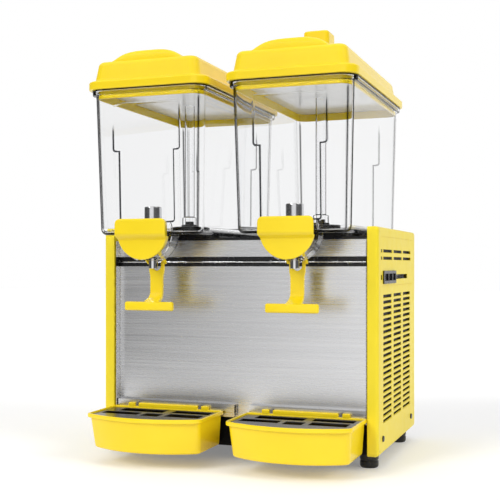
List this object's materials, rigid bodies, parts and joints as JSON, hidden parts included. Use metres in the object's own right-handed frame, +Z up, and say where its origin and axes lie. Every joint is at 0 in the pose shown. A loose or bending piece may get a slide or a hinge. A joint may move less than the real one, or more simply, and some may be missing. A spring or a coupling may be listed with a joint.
{
  "type": "cold drink dispenser",
  "caption": "Counter-top cold drink dispenser: clear lift-off tanks with yellow lids, lever taps, spray pumps, hook-on drip trays and a cooled cabinet with louvred side panels.",
  "frame": {"origin": "on the floor under the middle of the whole dispenser", "axes": "+X to the right seen from the front, +Y towards the back, +Z up"},
  "size_m": [0.4344, 0.39, 0.639],
  "materials": {
    "yellow_gloss": "glossy moulded plastic",
    "yellow_satin": "satin moulded plastic with a fine grain",
    "clear_plastic": "clear polished plastic",
    "black_plastic": "fine satin",
    "white_plastic": "smooth moulded plastic",
    "grey_liner": "smooth light grey plastic",
    "black_rubber": "soft matt rubber",
    "polished_steel": "polished",
    "brushed_stainless": "level brushed grain",
    "black_paint": "black powder coat",
    "zinc_screws": "blackened steel",
    "plain_aluminium": "plain sheet",
    "motor_grey": "dark grey paint",
    "copper_pipe": "plain drawn copper"
  },
  "bodies": {
    "cabinet": {"base_pan": "black_paint", "rubber_feet": "black_rubber", "left_side_panel": "yellow_satin", "right_side_panel": "yellow_satin", "front_panels": "brushed_stainless", "front_trim": "black_plastic", "deck_plate": "black_plastic", "rear_panel": "brushed_stainless", "tray_brackets": "brushed_stainless", "fixing_screws": "zinc_screws", "cold_plates": "plain_aluminium", "tank_seats": "black_rubber", "pump_motors": "motor_grey", "compressor": "black_paint", "condenser": "plain_aluminium", "fan_shroud": "black_plastic", "fan_motor": "motor_grey", "refrigerant_pipes": "copper_pipe", "power_inlet": "black_plastic", "switch_plate": "black_plastic"},
    "left_tank_body": {"left_tank": "clear_plastic", "left_pump_housing": "black_plastic", "left_spray_tube": "clear_plastic", "left_tap_body": "clear_plastic", "left_valve_sleeve": "polished_steel", "left_nozzle": "polished_steel", "left_tap_cover": "yellow_gloss"},
    "left_lid_body": {"left_lid": "yellow_gloss", "left_lid_liner": "grey_liner", "left_lid_gasket": "black_rubber"},
    "left_lever_body": {"left_tap_lever": "yellow_gloss"},
    "left_piston_body": {"left_piston": "white_plastic", "left_piston_seals": "black_rubber", "left_valve_spring": "polished_steel"},
    "left_tray_body": {"left_drip_tray": "yellow_gloss"},
    "left_grate_body": {"left_drip_grate": "brushed_stainless"},
    "left_drive_body": {"left_magnet_driver": "black_plastic"},
    "left_impeller_body": {"left_impeller": "white_plastic"},
    "right_tank_body": {"right_tank": "clear_plastic", "right_pump_housing": "black_plastic", "right_spray_tube": "clear_plastic", "right_tap_body": "clear_plastic", "right_valve_sleeve": "polished_steel", "right_nozzle": "polished_steel", "right_tap_cover": "yellow_gloss"},
    "right_lid_body": {"right_lid": "yellow_gloss", "right_lid_liner": "grey_liner", "right_lid_gasket": "black_rubber"},
    "right_lever_body": {"right_tap_lever": "yellow_gloss"},
    "right_piston_body": {"right_piston": "white_plastic", "right_piston_seals": "black_rubber", "right_valve_spring": "polished_steel"},
    "right_tray_body": {"right_drip_tray": "yellow_gloss"},
    "right_grate_body": {"right_drip_grate": "brushed_stainless"},
    "right_drive_body": {"right_magnet_driver": "black_plastic"},
    "right_impeller_body": {"right_impeller": "white_plastic"},
    "fan_body": {"fan_blade": "black_plastic"},
    "power_rocker_body": {"power_rocker": "black_plastic"},
    "left_pump_rocker_body": {"left_pump_rocker": "black_plastic"},
    "right_pump_rocker_body": {"right_pump_rocker": "black_plastic"}
  },
  "joints": [
    {"name": "left_tank_lift", "type": "slide", "parent": "cabinet", "child": "left_tank_body", "axis": [0, 0, 1], "range_m": [0, 0.12]},
    {"name": "left_lid_lift", "type": "slide", "parent": "left_tank_body", "child": "left_lid_body", "axis": [0, 0, 1], "range_m": [0, 0.08]},
    {"name": "left_tray_lift", "type": "slide", "parent": "cabinet", "child": "left_tray_body", "axis": [0, 0, 1], "range_m": [0, 0.025]},
    {"name": "left_grate_lift", "type": "slide", "parent": "left_tray_body", "child": "left_grate_body", "axis": [0, 0, 1], "range_m": [0, 0.03]},
    {"name": "left_lever_turn", "type": "hinge", "parent": "left_tank_body", "child": "left_lever_body", "pos_m": [-0.10815, -0.152, 0.314], "axis": [1, 0, 0], "range_deg": [0, 16], "stiffness_Nm_per_rad": 0.05, "springref_deg": -28.65},
    {"name": "left_piston_slide", "type": "slide", "parent": "left_tank_body", "child": "left_piston_body", "axis": [0, 0, 1], "range_m": [0, 0.005], "deforming": ["left_valve_spring"]},
    {"name": "left_drive_spin", "type": "hinge", "parent": "cabinet", "child": "left_drive_body", "pos_m": [-0.10815, 0, 0.325], "axis": [0, 0, 1], "continuous": true},
    {"name": "left_impeller_spin", "type": "hinge", "parent": "left_tank_body", "child": "left_impeller_body", "pos_m": [-0.10815, 0, 0.341], "axis": [0, 0, 1], "continuous": true},
    {"name": "right_tank_lift", "type": "slide", "parent": "cabinet", "child": "right_tank_body", "axis": [0, 0, 1], "range_m": [0, 0.12]},
    {"name": "right_lid_lift", "type": "slide", "parent": "right_tank_body", "child": "right_lid_body", "axis": [0, 0, 1], "range_m": [0, 0.08]},
    {"name": "right_tray_lift", "type": "slide", "parent": "cabinet", "child": "right_tray_body", "axis": [0, 0, 1], "range_m": [0, 0.025]},
    {"name": "right_grate_lift", "type": "slide", "parent": "right_tray_body", "child": "right_grate_body", "axis": [0, 0, 1], "range_m": [0, 0.03]},
    {"name": "right_lever_turn", "type": "hinge", "parent": "right_tank_body", "child": "right_lever_body", "pos_m": [0.10815, -0.152, 0.314], "axis": [1, 0, 0], "range_deg": [0, 16], "stiffness_Nm_per_rad": 0.05, "springref_deg": -28.65},
    {"name": "right_piston_slide", "type": "slide", "parent": "right_tank_body", "child": "right_piston_body", "axis": [0, 0, 1], "range_m": [0, 0.005], "deforming": ["right_valve_spring"]},
    {"name": "right_drive_spin", "type": "hinge", "parent": "cabinet", "child": "right_drive_body", "pos_m": [0.10815, 0, 0.325], "axis": [0, 0, 1], "continuous": true},
    {"name": "right_impeller_spin", "type": "hinge", "parent": "right_tank_body", "child": "right_impeller_body", "pos_m": [0.10815, 0, 0.341], "axis": [0, 0, 1], "continuous": true},
    {"name": "fan_spin", "type": "hinge", "parent": "cabinet", "child": "fan_body", "pos_m": [0.136, 0.06, 0.1162], "axis": [1, 0, 0], "continuous": true},
    {"name": "power_rocker_tip", "type": "hinge", "parent": "cabinet", "child": "power_rocker_body", "pos_m": [0.212, -0.0381, 0.2725], "axis": [0, 0, 1], "range_deg": [-12, 0]},
    {"name": "left_pump_rocker_tip", "type": "hinge", "parent": "cabinet", "child": "left_pump_rocker_body", "pos_m": [0.212, -0.0115, 0.2725], "axis": [0, 0, 1], "range_deg": [-12, 0]},
    {"name": "right_pump_rocker_tip", "type": "hinge", "parent": "cabinet", "child": "right_pump_rocker_body", "pos_m": [0.212, 0.0151, 0.2725], "axis": [0, 0, 1], "range_deg": [-12, 0]}
  ],
  "couplings": [
    {"joint": "left_lever_turn", "follows": "left_piston_slide", "rad_per_m": 55.556},
    {"joint": "left_impeller_spin", "follows": "left_drive_spin", "ratio": 1},
    {"joint": "right_lever_turn", "follows": "right_piston_slide", "rad_per_m": 55.556},
    {"joint": "right_impeller_spin", "follows": "right_drive_spin", "ratio": 1}
  ]
}
